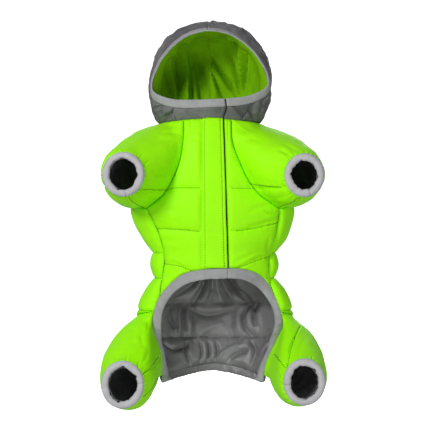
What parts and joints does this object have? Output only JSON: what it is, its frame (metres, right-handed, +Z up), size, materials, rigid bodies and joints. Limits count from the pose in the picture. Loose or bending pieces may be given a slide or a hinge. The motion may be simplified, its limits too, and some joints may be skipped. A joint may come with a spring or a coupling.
{
  "type": "dog jumpsuit",
  "caption": "Padded hooded jumpsuit for a small dog: quilted green body with front zip under a flap, short legs with elastic cuffs, open belly and elastic hem, grey hood lined in green.",
  "frame": {"origin": "middle of the neck seam, where the wearer's neck holds the garment up", "axes": "+Z up the garment from hem to hood, -Y to the belly side with the zip flap, +X to the viewer's right when looking at the belly"},
  "size_m": [0.2883, 0.1792, 0.5038],
  "materials": {
    "green_nylon": "lime green padded nylon, slightly shiny",
    "grey_nylon": "mid grey nylon, slightly shiny",
    "green_fleece": "soft matt lime green lining",
    "light_tape": "light grey knitted binding tape",
    "dark_lining": "dark smooth lining",
    "grey_lining": "grey quilted taffeta lining",
    "zip_tape": "dark woven zip tape"
  },
  "bodies": {
    "root": {"back_panel": "green_nylon", "back_lining": "grey_lining", "placket_flap": "green_nylon", "zip_tape": "zip_tape", "hem_casing": "grey_lining", "chest_panel_left": "green_nylon", "chest_panel_right": "green_nylon", "belly_binding_left": "light_tape", "belly_binding_right": "light_tape", "collar_band_left": "grey_nylon", "collar_band_right": "grey_nylon", "hood_shell_left": "grey_nylon", "hood_shell_right": "grey_nylon", "hood_lining": "green_fleece", "face_binding_left": "light_tape", "face_binding_right": "light_tape", "sleeve_left": "green_nylon", "sleeve_left_lining": "dark_lining", "sleeve_left_cuff": "light_tape", "sleeve_right": "green_nylon", "sleeve_right_lining": "dark_lining", "sleeve_right_cuff": "light_tape", "hind_leg_left": "green_nylon", "hind_leg_left_lining": "dark_lining", "hind_leg_left_cuff": "light_tape", "hind_leg_right": "green_nylon", "hind_leg_right_lining": "dark_lining", "hind_leg_right_cuff": "light_tape"}
  },
  "joints": []
}
